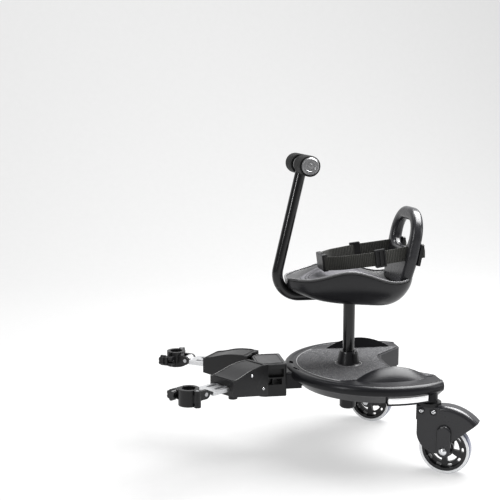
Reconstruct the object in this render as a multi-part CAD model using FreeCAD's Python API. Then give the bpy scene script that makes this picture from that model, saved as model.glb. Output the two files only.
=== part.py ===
import FreeCAD
import Part
import math
import os

# Buggy board: a child's platform on two casters, with a seat on a post, a T-handle and two
# telescopic arms that clamp to a stroller's frame. Millimetres, +Z up, forward is -Y and
# the rider's left is +X. Pieces are laid out about the foot of the seat post.
Vector = FreeCAD.Vector
Rotation = FreeCAD.Rotation
X_AXIS = Vector(1, 0, 0)
Y_AXIS = Vector(0, 1, 0)
Z_AXIS = Vector(0, 0, 1)

# The part's origin is on the floor, this far in front of the seat post.
origin_ahead_of_post = 84.0

# Clearances: still joints, sliding joints, running shafts and soft goods.
fit_gap = 0.1
slide_gap = 0.3
shaft_gap = 0.05
soft_gap = 0.4

# Wheels.
wheel_r = 50.0
tyre_width = 24.0
tyre_depth = 6.5
rim_depth = 5.0
hub_width = 22.0
hub_web = 8.0
hub_boss_r = 15.0
rim_windows = 10
rim_window_length = 10.0
rim_window_width = 5.0
spoke_windows = 5
spoke_window_depth = 11.5
bearing_r = 11.0
bearing_width = 7.0
axle_r = 4.0

# Casters.
caster_track = 286.0
caster_y = 127.0
caster_trail = 34.0
caster_yaw_left = 33.0
caster_yaw_right = 219.0
hood_reach = 88.0
hood_front = 54.0
hood_wall = 5.0
wheel_side_gap = 1.5
hood_tip_angle = 43.0
boss_r = 14.0
boss_rise = 6.5
block_r = 23.0
stem_r = 6.0
bush_r = 9.0
bush_flange = 3.8
rivet_r = 3.0
rivet_spread = 24.0

# Deck shell, mat and reflectors.
deck_height = 39.0
deck_wall = 4.0
deck_overhang = 46.0
deck_middle = 55.7
skirt_lean = 32.0
deck_tail = 21.0
notch_depth = 69.0
notch_foot = 44.0
notch_round = 34.0
tower_r = 16.0
tongue_half = 38.0
mat_thickness = 3.0
mat_margin = 25.0
notch_margin = 6.0
hump_rise = 27.0
hump_front_y = -24.0
hump_rear_y = 134.0
hump_inset = 20.0
hump_turn = 5.0
hump_width = 30.0
reflector_sweep = 27.5
reflector_start = -7.5
reflector_height = 17.0
reflector_thickness = 1.2

# Seat post, its socket and its collar.
post_r = 12.3
post_wall = 2.0
socket_wall = 4.4
socket_depth = 92.0
collar_height = 30.0
collar_top_r = 18.0
collar_foot_r = 23.5
flange_r = 27.0
flange_thickness = 3.0
latch_width = 11.0
latch_height = 18.0
latch_thickness = 5.0
latch_angle = 25.0

# Seat.
seat_above_mat = 128.0
seat_wall = 4.0
seat_half_width = 78.0
pad_thickness = 6.0
pad_margin = 15.0
backrest_height = 160.0
backrest_width = 146.0
backrest_thickness = 24.0
backrest_lean = 10.5
backrest_y = 100.0
backrest_hole_width = 98.0
backrest_hole_height = 55.0

# Handle.
handle_r = 11.0
handle_bend_r = 45.0
handle_lean = 13.0
grip_above_mat = 417.0
grip_y = -102.0
grip_r = 20.5
grip_length = 58.0
grip_bar_r = 9.0
cap_thickness = 5.0

# Belt.
webbing_width = 28.0
webbing_thickness = 2.0

# Connector box and arms.
tongue_length = 6.7
box_length = 62.0
box_corner_r = 20.0
box_drop = 12.0
box_rise = 17.0
cover_thickness = 3.0
arm_pivot_x = 22.0
arm_pivot_back = 22.0
arm_splay = 35.0
arm_length = 122.0
arm_root_width = 56.0
arm_tip_width = 66.0
arm_wall = 4.0
lug_r = 14.0
lug_thickness = 12.0
pin_r = 5.0
bar_width = 46.0
bar_thickness = 8.0
bar_length = 114.0
plunger_r = 5.0
plunger_travel = 6.0

# Clamps for the stroller's tube.
clamp_bore_r = 13.0
clamp_wall = 7.0
clamp_height = 32.0
clamp_split = 2.0
jaw_pin_r = 3.0
knob_r = 11.0
knob_thickness = 11.0
screw_r = 3.0

# Places and heights that follow from the sizes above.
deck_r = caster_track / 2 + deck_overhang
box_back = deck_middle - deck_r - tongue_length
block_top = wheel_r + hood_reach + 3.0
deck_z = block_top + bush_flange + 0.2
mat_z = deck_z + deck_height
grip_height = mat_z + grip_above_mat


def cylinder(radius, length, base, axis=Z_AXIS):
    return Part.makeCylinder(radius, length, base, axis)


def tube(outer, inner, length, base, axis=Z_AXIS):
    return cylinder(outer, length, base, axis).cut(cylinder(inner, length, base, axis))


def block(low, high):
    size = high.sub(low)
    return Part.makeBox(size.x, size.y, size.z, low)


def prism(points, direction):
    """Closed polygon through the points, extruded along the direction."""
    return Part.Face(Part.makePolygon(points + points[:1])).extrude(direction)


def revolve_x(profile):
    """Closed (x, radius) profile turned about the X axis."""
    points = [Vector(x, radius, 0) for x, radius in profile]
    face = Part.Face(Part.makePolygon(points + points[:1]))
    return face.revolve(Vector(0, 0, 0), X_AXIS, 360)


def revolve_z(profile):
    """Closed (radius, z) profile turned about the Z axis."""
    points = [Vector(radius, 0, z) for radius, z in profile]
    face = Part.Face(Part.makePolygon(points + points[:1]))
    return face.revolve(Vector(0, 0, 0), Z_AXIS, 360)


def rounded_wire(corners, z):
    """Closed outline at one height through (x, y, radius) corners, each rounded by its own arc."""
    points = [Vector(x, y, z) for x, y, radius in corners]
    edges = []
    joints = []
    for i, (x, y, radius) in enumerate(corners):
        back = points[i - 1].sub(points[i]).normalize()
        ahead = points[(i + 1) % len(points)].sub(points[i]).normalize()
        half = back.getAngle(ahead) / 2
        middle = (back + ahead).normalize()
        reach = radius / math.tan(half)
        crown = points[i] + middle * (radius / math.sin(half) - radius)
        joints.append((points[i] + back * reach, crown, points[i] + ahead * reach))
    for i, (start, crown, end) in enumerate(joints):
        edges.append(Part.Arc(start, crown, end).toShape())
        edges.append(Part.LineSegment(end, joints[(i + 1) % len(joints)][0]).toShape())
    return Part.Wire(edges)


def loft(wires):
    return Part.makeLoft(wires, True, False)


def fuse(first, *others):
    return first.multiFuse(list(others))


def cut_each(shape, tools):
    for tool in tools:
        shape = shape.cut(tool)
    return shape


def moved(shape, offset):
    copy = shape.copy()
    copy.translate(offset)
    return copy


def turned(shape, angle, centre=Vector(0, 0, 0), axis=Z_AXIS):
    copy = shape.copy()
    copy.rotate(centre, axis, angle)
    return copy


def mirrored(shape):
    return shape.mirror(Vector(0, 0, 0), X_AXIS)


def group(*solids):
    return Part.makeCompound(list(solids))


def fillet_where(shape, radius, test):
    edges = [edge for edge in shape.Edges if test(edge)]
    return shape.makeFillet(radius, edges)


os.makedirs("parts", exist_ok=True)


def save(node, shape):
    """Write one node, moved from the post's foot to the part's origin."""
    moved(shape, Vector(0, origin_ahead_of_post, 0)).exportStep("parts/" + node + ".step")


# Wheel: a spoked hub with two rows of windows, a clear tyre and two ball bearings,
# all built about the X axis and carried on the axle bolt.
rim_r = wheel_r - tyre_depth
rim_inner_r = rim_r - rim_depth
window_ring_r = rim_inner_r - 1.5 - rim_window_width / 2


def make_hub():
    half = hub_width / 2
    web = hub_web / 2
    stop = half - bearing_width
    lip_r = bearing_r - 2.0
    profile = [(-half, bearing_r), (-stop, bearing_r), (-stop, lip_r), (stop, lip_r), (stop, bearing_r),
               (half, bearing_r), (half, hub_boss_r), (web, hub_boss_r), (web, rim_inner_r),
               (half, rim_inner_r), (half, rim_r), (-half, rim_r), (-half, rim_inner_r),
               (-web, rim_inner_r), (-web, hub_boss_r), (-half, hub_boss_r)]
    hub = revolve_x(profile)
    cuts = []
    flat = (rim_window_length - rim_window_width) / 2
    for i in range(rim_windows):
        slot = fuse(cylinder(rim_window_width / 2, hub_width, Vector(-half, -flat, window_ring_r), X_AXIS),
                    cylinder(rim_window_width / 2, hub_width, Vector(-half, flat, window_ring_r), X_AXIS),
                    block(Vector(-half, -flat, window_ring_r - rim_window_width / 2),
                          Vector(half, flat, window_ring_r + rim_window_width / 2)))
        cuts.append(turned(slot, 360.0 * (i + 0.5) / rim_windows, axis=X_AXIS))
    inner_r = hub_boss_r + 2.0
    outer_r = inner_r + spoke_window_depth
    sector = tube(outer_r, inner_r, hub_width, Vector(-half, 0, 0), X_AXIS)
    wedge = 0.32 * 360.0 / spoke_windows
    reach = 2 * outer_r
    wedge_y = reach * math.tan(math.radians(wedge))
    window = sector.common(prism([Vector(-half, 0, 0), Vector(-half, -wedge_y, reach),
                                  Vector(-half, wedge_y, reach)], Vector(hub_width, 0, 0)))
    for i in range(spoke_windows):
        cuts.append(turned(window, 360.0 * i / spoke_windows, axis=X_AXIS))
    return hub.cut(Part.makeCompound(cuts))


def make_tyre():
    half = tyre_width / 2
    shoulder = 0.35 * tyre_depth
    inner = rim_r + fit_gap
    profile = [(-half, inner), (-half, wheel_r - shoulder), (-half + shoulder, wheel_r - 0.25 * shoulder),
               (-half + 2 * shoulder, wheel_r), (half - 2 * shoulder, wheel_r),
               (half - shoulder, wheel_r - 0.25 * shoulder), (half, wheel_r - shoulder), (half, inner)]
    return revolve_x(profile)


def make_bearings():
    start = hub_width / 2 - bearing_width
    one = tube(bearing_r - fit_gap, axle_r + shaft_gap, bearing_width, Vector(start, 0, 0), X_AXIS)
    return group(one, turned(one, 180.0))


# Caster: the hood's two cheeks hold the axle, a swivel block is riveted between them at the
# top, and a steel stem stands in the block and turns in a flanged bush under the deck.
# The pieces are built about the swivel axis, trailing towards +Y, then turned to their yaw.
cheek_in = tyre_width / 2 + wheel_side_gap
cheek_out = cheek_in + hood_wall
hood_top = wheel_r + hood_reach - 4.0
block_half = cheek_in - fit_gap
block_foot = wheel_r + 0.62 * hood_reach
stem_top = deck_z + 0.7 * deck_height
rivet_z = hood_top - 9.0


def axle_point(y, z):
    return Vector(0, caster_trail + y, wheel_r + z)


def make_hood():
    """Fender cut from a rounded drum about the axle, with a squared neck over the swivel axis."""
    front = -hood_front
    tip = math.radians(hood_tip_angle)
    neck = -0.11 * hood_reach
    level = hood_top - wheel_r
    corners = [axle_point(front, level), axle_point(front, 0.32 * hood_reach),
               axle_point(-0.37 * hood_front, -boss_r * 0.6), axle_point(0.66 * boss_r, -boss_r * 0.6),
               axle_point(1.1 * boss_r, 1.3 * boss_r),
               axle_point(1.3 * hood_reach * math.cos(tip), 1.3 * hood_reach * math.sin(tip)),
               axle_point(0.9 * hood_reach, 1.3 * hood_reach), axle_point(front, 1.3 * hood_reach)]
    belly = axle_point(-0.83 * hood_front, 0.07 * hood_reach)
    edges = [Part.LineSegment(corners[0], corners[1]), Part.Arc(corners[1], belly, corners[2])]
    edges += [Part.LineSegment(corners[i], corners[(i + 1) % 8]) for i in range(2, 8)]
    face = Part.Face(Part.Wire([edge.toShape() for edge in edges]))
    outline = moved(face, Vector(-cheek_out, 0, 0)).extrude(Vector(2 * cheek_out, 0, 0))
    drum = cylinder(hood_reach, 2 * cheek_out, Vector(-cheek_out, caster_trail, wheel_r), X_AXIS)
    drum = fillet_where(drum, 0.55 * cheek_out, lambda edge: abs(abs(edge.CenterOfMass.x) - cheek_out) < 0.01)
    collar = block(Vector(-cheek_out, caster_trail + front, wheel_r + 0.5 * hood_reach),
                   Vector(cheek_out, caster_trail + neck, hood_top))
    hood = fuse(outline.common(drum), collar)
    cavity = cylinder(hood_reach - hood_wall, 2 * cheek_in, Vector(-cheek_in, caster_trail, wheel_r), X_AXIS)
    room = block(Vector(-cheek_in, caster_trail - hood_front + hood_wall, 0),
                 Vector(cheek_in, caster_trail + 2 * hood_reach, wheel_r + 2 * hood_reach))
    hood = hood.cut(cavity.common(room))
    hood = hood.cut(block(Vector(-cheek_in, -block_r, block_foot), Vector(cheek_in, block_r, hood_top + 1)))
    hood = hood.cut(cylinder(block_r + fit_gap, 0.5 * hood_reach, Vector(0, 0, hood_top)))
    for side in (-1, 1):
        hood = hood.fuse(make_boss(side))
    hood = hood.cut(cylinder(axle_r + fit_gap, 4 * cheek_out, Vector(-2 * cheek_out, caster_trail, wheel_r),
                             X_AXIS))
    for y in (-rivet_spread / 2, rivet_spread / 2):
        hood = hood.cut(cylinder(rivet_r + fit_gap, 4 * cheek_out, Vector(-2 * cheek_out, y, rivet_z),
                                 X_AXIS))
    return hood


def make_boss(side):
    """Upright capsule on one cheek, from the axle up towards the roof."""
    length = 0.42 * hood_reach
    start = cheek_out - 1.0 if side > 0 else -cheek_out - boss_rise
    depth = boss_rise + 1.0
    base = Vector(start, caster_trail, wheel_r)
    capsule = fuse(cylinder(boss_r, depth, base, X_AXIS),
                   cylinder(boss_r, depth, base + Vector(0, 0, length), X_AXIS),
                   block(base + Vector(0, -boss_r, 0), base + Vector(depth, boss_r, length)))
    outer = start + depth if side > 0 else start
    return fillet_where(capsule, 0.6 * boss_rise, lambda edge: abs(edge.CenterOfMass.x - outer) < 0.01)


def make_block():
    slab = block(Vector(-block_half, -block_r + fit_gap, block_foot),
                 Vector(block_half, block_r - fit_gap, hood_top))
    collar = cylinder(block_r, block_top - hood_top, Vector(0, 0, hood_top))
    shape = fuse(slab, collar)
    shape = shape.cut(cylinder(stem_r + fit_gap, block_top - block_foot, Vector(0, 0, block_foot + 8.0)))
    for y in (-rivet_spread / 2, rivet_spread / 2):
        shape = shape.cut(cylinder(rivet_r + fit_gap, 4 * cheek_out, Vector(-2 * cheek_out, y, rivet_z),
                                   X_AXIS))
    return shape


def make_stem():
    foot = block_foot + 8.0
    return cylinder(stem_r, stem_top - foot, Vector(0, 0, foot))


def make_rivets():
    head = 0.9 * rivet_r
    profile = [(-cheek_out - head, 0.5 * rivet_r), (-cheek_out - head, rivet_r),
               (-cheek_out - fit_gap, 1.8 * rivet_r),
               (-cheek_out - fit_gap, rivet_r), (cheek_out + fit_gap, rivet_r), (cheek_out + fit_gap,
                                                                                 1.8 * rivet_r),
               (cheek_out + head, rivet_r), (cheek_out + head, 0.5 * rivet_r)]
    rivet = revolve_x(profile)
    return group(*[moved(rivet, Vector(0, y, rivet_z)) for y in (-rivet_spread / 2, rivet_spread / 2)])


def make_axle_bolt():
    """Dome-headed bolt through both cheeks, with a hexagon nut on the inner side."""
    face = cheek_out + boss_rise + fit_gap
    head_r = 1.9 * axle_r
    bolt = revolve_x([(-face - 8.0, 0), (-face - 8.0, axle_r), (face, axle_r), (face, head_r),
                      (face + 1.5, head_r),
                      (face + 3.5, 0.75 * head_r), (face + 4.6, 0.35 * head_r), (face + 4.8, 0)])
    corner = 1.75 * axle_r
    hexagon = [Vector(-face - 6.5, corner * math.cos(math.radians(60 * i)),
                      corner * math.sin(math.radians(60 * i)))
               for i in range(6)]
    nut = prism(hexagon, Vector(6.5, 0, 0)).cut(cylinder(axle_r + fit_gap, 20.0, Vector(-face - 10.0, 0, 0),
                                                         X_AXIS))
    return group(*[moved(solid, axle_point(0, 0)) for solid in (bolt, nut)])


def make_bush():
    barrel = cylinder(bush_r, stem_top - deck_z, Vector(0, 0, deck_z))
    flange = cylinder(1.8 * bush_r, bush_flange, Vector(0, 0, deck_z - bush_flange))
    return fuse(barrel, flange).cut(cylinder(stem_r + shaft_gap, 200.0, Vector(0, 0, block_top)))


bushes = []
for side, name, yaw in ((1, "left", caster_yaw_left), (-1, "right", caster_yaw_right)):
    place = Vector(side * caster_track / 2, caster_y, 0)
    pieces = {"caster_stem": make_stem(), "caster_block": make_block(), "caster_hood": make_hood(),
              "caster_rivets": make_rivets(), "axle_bolt": make_axle_bolt(),
              "wheel_hub": moved(make_hub(), axle_point(0, 0)), "wheel_tyre": moved(make_tyre(),
                                                                                    axle_point(0, 0)),
              "wheel_bearings": moved(make_bearings(), axle_point(0, 0))}
    for node, shape in pieces.items():
        save(node + "_" + name, moved(turned(shape, -yaw), place))
    bushes.append(moved(make_bush(), place))
save("caster_bushes", group(*bushes))


# Deck: a shallow drum turned about its own middle, whose skirt leans in below the rim, with a
# notch at the rear between two lobes that stand on the casters.
deck_rear = caster_y + deck_tail
notch_front = deck_rear - notch_depth
skirt_r = deck_r - skirt_lean
rim_low = 0.5 * deck_height
rim_high = 0.75 * deck_height


def deck_drum(inset, floor, top):
    """Solid of the deck drawn in by the inset, from a floor to a top above the skirt's edge."""
    shoulder = Vector(deck_r - 7.0 - inset, 0, rim_low)
    crest = Vector(deck_r - inset, 0, rim_high - 0.3 * inset)
    brow = Vector(deck_r - 17.0 - inset, 0, top)
    foot = Vector(skirt_r - 1.25 * inset, 0, floor)
    edges = [Part.LineSegment(Vector(0, 0, floor), foot), Part.LineSegment(foot, shoulder),
             Part.Arc(shoulder, crest, brow), Part.LineSegment(brow, Vector(0, 0, top)),
             Part.LineSegment(Vector(0, 0, top), Vector(0, 0, floor))]
    face = Part.Face(Part.Wire([edge.toShape() for edge in edges]))
    return moved(face.revolve(Vector(0, 0, 0), Z_AXIS, 360), Vector(0, deck_middle, deck_z))


def notch_room(grow):
    """Tall space of the rear notch and of all that lies behind the lobes."""
    mouth = notch_foot + 0.94 * notch_depth
    side = 1.5 * deck_r
    half = [(notch_foot, notch_front, notch_round), (mouth, deck_rear, 14), (side, deck_rear, 1),
            (side, 2 * deck_r, 1)]
    wire = rounded_wire(half + [(-x, y, radius) for x, y, radius in reversed(half)], deck_z - 10.0)
    if grow:
        wire = wire.makeOffset2D(grow)
    return Part.Face(wire).extrude(Vector(0, 0, 3 * deck_height))


def hump_wire(share, inset, foot):
    """Section of the left hump: a wall beside the mat, then a slope out to the deck's rim."""
    y = hump_front_y + share * (hump_rear_y - hump_front_y)
    inner = caster_track / 2 - hump_inset - share * hump_turn + inset
    outer = inner + hump_width * (0.6 + 1.6 * share * (1.0 - share)) - 2 * inset
    crest = mat_z + hump_rise * (1.0 - (2.0 * share - 1.0) ** 2) - 3.0 - inset
    base = mat_z - foot
    crown = Vector(inner, y, crest)
    rim = Vector(outer, y, base)
    middle = Vector(0.45 * inner + 0.55 * outer, y, 0.62 * crest + 0.38 * base)
    heel = Vector(inner, y, base)
    return Part.Wire([Part.LineSegment(heel, crown).toShape(), Part.Arc(crown, middle, rim).toShape(),
                      Part.LineSegment(rim, heel).toShape()])


def make_hump():
    return loft([hump_wire(share, 0, 6.0) for share in (0, 0.12, 0.3, 0.5, 0.7, 0.88, 1)])


def make_hump_room():
    return loft([hump_wire(share, deck_wall, deck_wall + 8.0) for share in (0.3, 0.5, 0.7, 0.85)])


mat_floor = mat_z - 2.0
tail_half = 34.0
tail_low = deck_z + 6.0
tail_high = mat_floor - 8.0
tail_back = box_back + 38.0
bolt_x = 25.0
bolt_y = box_back + 23.0
bolt_r = 3.0
socket_bore = post_r + slide_gap
socket_r = socket_bore + socket_wall
socket_screw_r = 1.8
screw_ring = socket_r + 1.9 * socket_screw_r + slide_gap


def mat_plate(gap, height):
    """Mat outline raised to a height: round in front, clear of the notch and of the humps' walls."""
    plate = cylinder(deck_r - mat_margin - gap, height, Vector(0, deck_middle, mat_floor))
    front = Vector(caster_track / 2 - hump_inset - gap, hump_front_y, mat_floor)
    rear = Vector(front.x - hump_turn, hump_rear_y, mat_floor)
    along = (rear - front) * 0.6
    beyond = Vector(deck_r, 0, 0)
    side = prism([front - along, rear + along, rear + along + beyond, front - along + beyond],
                 Vector(0, 0, height))
    return cut_each(plate, [notch_room(notch_margin + gap), side, mirrored(side)])


def ring_of(solid, count, radius):
    """Copies of a solid on a circle about the post."""
    return [turned(moved(solid, Vector(radius, 0, 0)), 45.0 + 360.0 * i / count) for i in range(count)]


def bolt_recess(side):
    """Shallow slot in the deck's front rim over one of the connector's bolts."""
    depth = 2.5
    base = Vector(side * bolt_x, bolt_y, mat_z - depth)
    reach = Vector(5.0, 0, 0)
    width = Vector(0, 2 * bolt_r - 2.0, 0)
    slot = fuse(block(base - reach - width, base + reach + width + Vector(0, 0, 2 * depth)),
                cylinder(width.y, 2 * depth, base - reach), cylinder(width.y, 2 * depth, base + reach))
    return turned(slot, side * 20.0, base)


def make_deck_shell():
    hump = make_hump()
    room = make_hump_room()
    ceiling = deck_height - deck_wall - 2.0
    tongue = block(Vector(-tongue_half, box_back + fit_gap, deck_z + 2.0),
                   Vector(tongue_half, tail_back - 6.0, mat_z - 3.0))
    tongue = fillet_where(tongue, 5.0, lambda edge: edge.BoundBox.YLength > 5.0 and edge.BoundBox.ZMin > mat_z - 4.0)
    shell = fuse(deck_drum(0, 0, deck_height).cut(notch_room(0)), hump, mirrored(hump), tongue)
    shell = cut_each(shell, [deck_drum(deck_wall, -1.0, ceiling).cut(notch_room(deck_wall)), room,
                             mirrored(room)])
    # Ribs run one millimetre into the walls that carry them, and the casters stand in round towers.
    inside = deck_drum(deck_wall - 1.0, 0, ceiling + 1.0).cut(notch_room(deck_wall - 1.0))
    rib = 1.5
    rib_low = deck_z + 12.0
    rib_x = notch_foot + 30.0
    inner = [block(Vector(-deck_r, y - rib, rib_low), Vector(deck_r, y + rib, mat_z)) for y in (-72, 48)]
    inner += [block(Vector(x - rib, -72, rib_low), Vector(x + rib, deck_rear, mat_z))
              for x in (rib_x, -rib_x)]
    towers = [cylinder(tower_r, ceiling + 1.0, Vector(side * caster_track / 2, caster_y, deck_z))
              for side in (-1, 1)]
    shell = fuse(shell, inner[0].multiFuse(inner[1:]).common(inside), *towers)
    front = block(Vector(-tail_half - slide_gap, box_back - 60.0, deck_z - 1.0),
                  Vector(tail_half + slide_gap, tail_back + 2.0, tail_high + slide_gap))
    holes = [cylinder(socket_bore + 0.5, 60.0, Vector(0, 0, deck_z)), bolt_recess(-1), bolt_recess(1)]
    holes += ring_of(cylinder(socket_screw_r + fit_gap, 60.0, Vector(0, 0, deck_z)), 4, screw_ring)
    for side in (-1, 1):
        holes.append(cylinder(bush_r + fit_gap, stem_top - deck_z + 1.0,
                              Vector(side * caster_track / 2, caster_y, deck_z - 1.0)))
        holes.append(cylinder(bolt_r + fit_gap, 60.0, Vector(side * bolt_x, bolt_y, deck_z)))
    return cut_each(shell, [mat_plate(0, 2 * hump_rise), front] + holes)


def make_mat():
    return mat_plate(slide_gap, mat_thickness).cut(cylinder(flange_r + slide_gap, 20.0,
                                                            Vector(0, 0, mat_floor - 5.0)))


def make_reflector():
    """Band on the left side of the skirt, bent to the skirt's own slope."""
    rise = rim_low / math.hypot(rim_low, skirt_lean - 7.0)
    run = (skirt_lean - 7.0) / math.hypot(rim_low, skirt_lean - 7.0)
    out = Vector(rise, 0, -run)
    start = Vector(skirt_r, 0, 0) + out * fit_gap + Vector(run, 0, rise) * 2.0
    along = Vector(run, 0, rise) * reflector_height
    points = [start, start + along, start + along + out * reflector_thickness,
              start + out * reflector_thickness]
    face = Part.Face(Part.makePolygon(points + points[:1]))
    band = turned(face.revolve(Vector(0, 0, 0), Z_AXIS, reflector_sweep), reflector_start)
    return moved(band, Vector(0, deck_middle, deck_z))


# Post socket below the deck, flared collar above it, screws that pull the two together,
# and the press latch set in the collar's side.
collar_z = mat_floor
socket_top = mat_z - deck_wall - 2.0
socket_floor = collar_z - socket_depth


def make_socket():
    shape = fuse(cylinder(socket_r, socket_top - socket_floor, Vector(0, 0, socket_floor)),
                 cylinder(flange_r, flange_thickness, Vector(0, 0, socket_top - flange_thickness)))
    shape = shape.cut(cylinder(socket_bore, socket_depth, Vector(0, 0, socket_floor + socket_wall)))
    shape = cut_each(shape, ring_of(cylinder(socket_screw_r + fit_gap, 40.0, Vector(0, 0, socket_top - 30.0)),
                                    4, screw_ring))
    foot = [edge for edge in shape.Edges if abs(edge.CenterOfMass.z - socket_floor) < 0.01]
    return shape.makeChamfer(2.5, foot)


def latch_body(grow, inner):
    height = latch_height / 2 + grow
    width = latch_width / 2 + grow
    middle = collar_z + 0.55 * collar_height
    return block(Vector(inner, -width, middle - height), Vector(inner + 40.0, width, middle + height))


def make_collar():
    foot = flange_thickness
    shape = revolve_z([(socket_bore, 0), (flange_r, 0), (flange_r, 0.6 * foot), (collar_foot_r, foot + 1.0),
                       (collar_top_r + 1.0, collar_height - 3.0), (collar_top_r, collar_height),
                       (socket_bore, collar_height)])
    shape.translate(Vector(0, 0, collar_z))
    slot = turned(latch_body(slide_gap, socket_bore + 1.6), latch_angle)
    holes = ring_of(cylinder(socket_screw_r + fit_gap, 8.0, Vector(0, 0, collar_z - 1.0)), 4, screw_ring)
    return cut_each(shape, holes + [slot])


def make_latch():
    """Press panel with the collar's own curve on its face, standing a little proud of it."""
    face_r = 0.5 * (collar_top_r + collar_foot_r) + 2.0
    panel = latch_body(0, face_r - latch_thickness)
    panel = panel.common(cylinder(face_r, 200.0, Vector(0, 0, collar_z)))
    return turned(panel, latch_angle)


def make_socket_screws():
    head = 2.4
    seat = socket_top - flange_thickness
    screw = fuse(cylinder(socket_screw_r, head + collar_z - seat + 1.0, Vector(0, 0, seat - head)),
                 cylinder(1.9 * socket_screw_r, head - fit_gap, Vector(0, 0, seat - head)))
    return group(*ring_of(screw, 4, screw_ring))


save("deck_shell", make_deck_shell())
save("deck_mat", make_mat())
reflector = make_reflector()
save("reflector_left", reflector)
save("reflector_right", mirrored(reflector))
save("post_socket", make_socket())
save("post_collar", make_collar())
save("post_latch", make_latch())
save("socket_screws", make_socket_screws())


# Seat: stations from nose to rear, each (y, half width as a share of the seat's, rim height, keel height).
seat_z = mat_z + seat_above_mat
seat_stations = [(-134, 0.22, 59, 45), (-112, 0.62, 61, 27), (-75, 0.86, 67, 14), (-20, 0.99, 79, 4),
                 (35, 1.0, 66, 0), (80, 0.93, 55, 2), (105, 0.8, 58, 17), (121, 0.52, 62, 40)]
dish_share = 0.2


def hull_wire(y, half, rim, keel, lift):
    """Boat section: a round belly from rim to rim, with straight sides above it, closed on top."""
    depth = rim - keel
    left = [(-half, rim), (-0.94 * half, rim - 0.42 * depth), (-0.6 * half, keel + 0.1 * depth)]
    outline = left + [(0, keel)] + [(-x, z) for x, z in reversed(left)]
    points = [Vector(x, y, seat_z + z) for x, z in outline]
    belly = Part.BSplineCurve()
    belly.interpolate(points)
    above = Vector(0, 0, lift)
    return Part.Wire([belly.toShape(), Part.LineSegment(points[-1], points[-1] + above).toShape(),
                      Part.LineSegment(points[-1] + above, points[0] + above).toShape(),
                      Part.LineSegment(points[0] + above, points[0]).toShape()])


def hull(inset, lift):
    """The seat's outer body, or its hollow when drawn in by a wall and raised past the rim."""
    shrink = 1.0 - inset / 130.0
    return loft([hull_wire(y * shrink, share * seat_half_width - inset, rim, keel + inset, lift)
                 for y, share, rim, keel in seat_stations])


def dish_arc(y, half, rim, drop, share=1.0):
    """Arc across the seat top: the rim at the sides, dished in the middle, lowered by the drop."""
    depth = dish_share * half
    radius = (half ** 2 + depth ** 2) / (2 * depth)
    reach = share * half
    side = rim - depth + radius - math.sqrt(radius ** 2 - reach ** 2) - drop
    return (Vector(-reach, y, seat_z + side), Vector(0, y, seat_z + rim - depth - drop),
            Vector(reach, y, seat_z + side))


def between_arcs(low, high):
    edges = [Part.Arc(*low).toShape(), Part.LineSegment(low[2], high[2]).toShape(),
             Part.Arc(high[2], high[1], high[0]).toShape(), Part.LineSegment(high[0], low[0]).toShape()]
    return Part.Wire(edges)


def seat_layer(low_drop, high_drop, grow=0.0):
    """Layer of the seat top between two depths below its surface."""
    wires = []
    for y, share, rim, keel in seat_stations:
        half = share * seat_half_width + grow
        wires.append(between_arcs(dish_arc(y, half, rim, low_drop), dish_arc(y, half, rim, high_drop)))
    return loft(wires)


def make_pad():
    """Inset pad: bedded on the dish, crowned above, with its sides drawn in."""
    wires = []
    for y, share, rim, keel in seat_stations[1:-1]:
        half = share * seat_half_width
        inner = (half - pad_margin) / half
        low = dish_arc(y, half, rim, 0.5 * seat_wall, inner)
        high = dish_arc(y, half, rim, -soft_gap - 0.55 * pad_thickness, 0.96 * inner)
        crown = (high[0], high[1] + Vector(0, 0, 0.45 * pad_thickness), high[2])
        wires.append(between_arcs(low, crown))
    corners = [(-64, -104, 26), (64, -104, 26), (64, 88, 30), (-64, 88, 30)]
    pad = loft(wires).common(Part.Face(rounded_wire(corners, seat_z)).extrude(Vector(0, 0, 100)))
    return pad.cut(seat_layer(60.0, -soft_gap))


# Backrest: a leaning loop with a rounded top, cut at its foot to the seat top.
backrest_foot = seat_z + 42.0


def make_backrest():
    half = backrest_width / 2
    top = backrest_height
    waist = 0.34 * top
    corners = [(-0.78 * half, 0, 8), (0.78 * half, 0, 8), (half, waist, 60), (half, top, 0.85 * half),
               (-half, top, 0.85 * half), (-half, waist, 60)]
    hole_half = backrest_hole_width / 2
    hole_top = top - 0.55 * (backrest_width - backrest_hole_width)
    foot_round = 0.4 * backrest_hole_height
    hole = [(-hole_half, hole_top - backrest_hole_height, foot_round),
            (hole_half, hole_top - backrest_hole_height, foot_round),
            (hole_half, hole_top, 0.52 * backrest_hole_height), (-hole_half, hole_top,
                                                                 0.52 * backrest_hole_height)]
    plate = Part.Face(rounded_wire(corners, 0)).cut(Part.Face(rounded_wire(hole, 0)))
    body = plate.extrude(Vector(0, 0, backrest_thickness))
    body = body.makeFillet(0.38 * backrest_thickness, [edge for edge in body.Edges if edge.BoundBox.ZLength < 0.01])
    body.translate(Vector(0, 0, -backrest_thickness / 2))
    return turned(body, 90.0, axis=X_AXIS)


def lean_back(shape):
    """Stand a piece that was built about the backrest's foot in its place on the seat."""
    return moved(turned(shape, -backrest_lean, axis=X_AXIS), Vector(0, backrest_y, backrest_foot))


# Handle: a bent tube from the seat bracket, forwards, round one bend and up to a T-piece.
run_z = seat_z + 21.0
run_start = -20.0
handle_wall = 1.8
lean = math.radians(handle_lean)
corner_y = grip_y - (grip_height - run_z) * math.tan(lean)
bend_reach = handle_bend_r * math.tan((math.pi / 2 + lean) / 2)
bend_centre = Vector(0, corner_y + bend_reach, run_z + handle_bend_r)
bend_middle = math.radians(225.0) - lean / 2
bend_end = Vector(0, corner_y + bend_reach * math.sin(lean), run_z + bend_reach * math.cos(lean))


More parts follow.
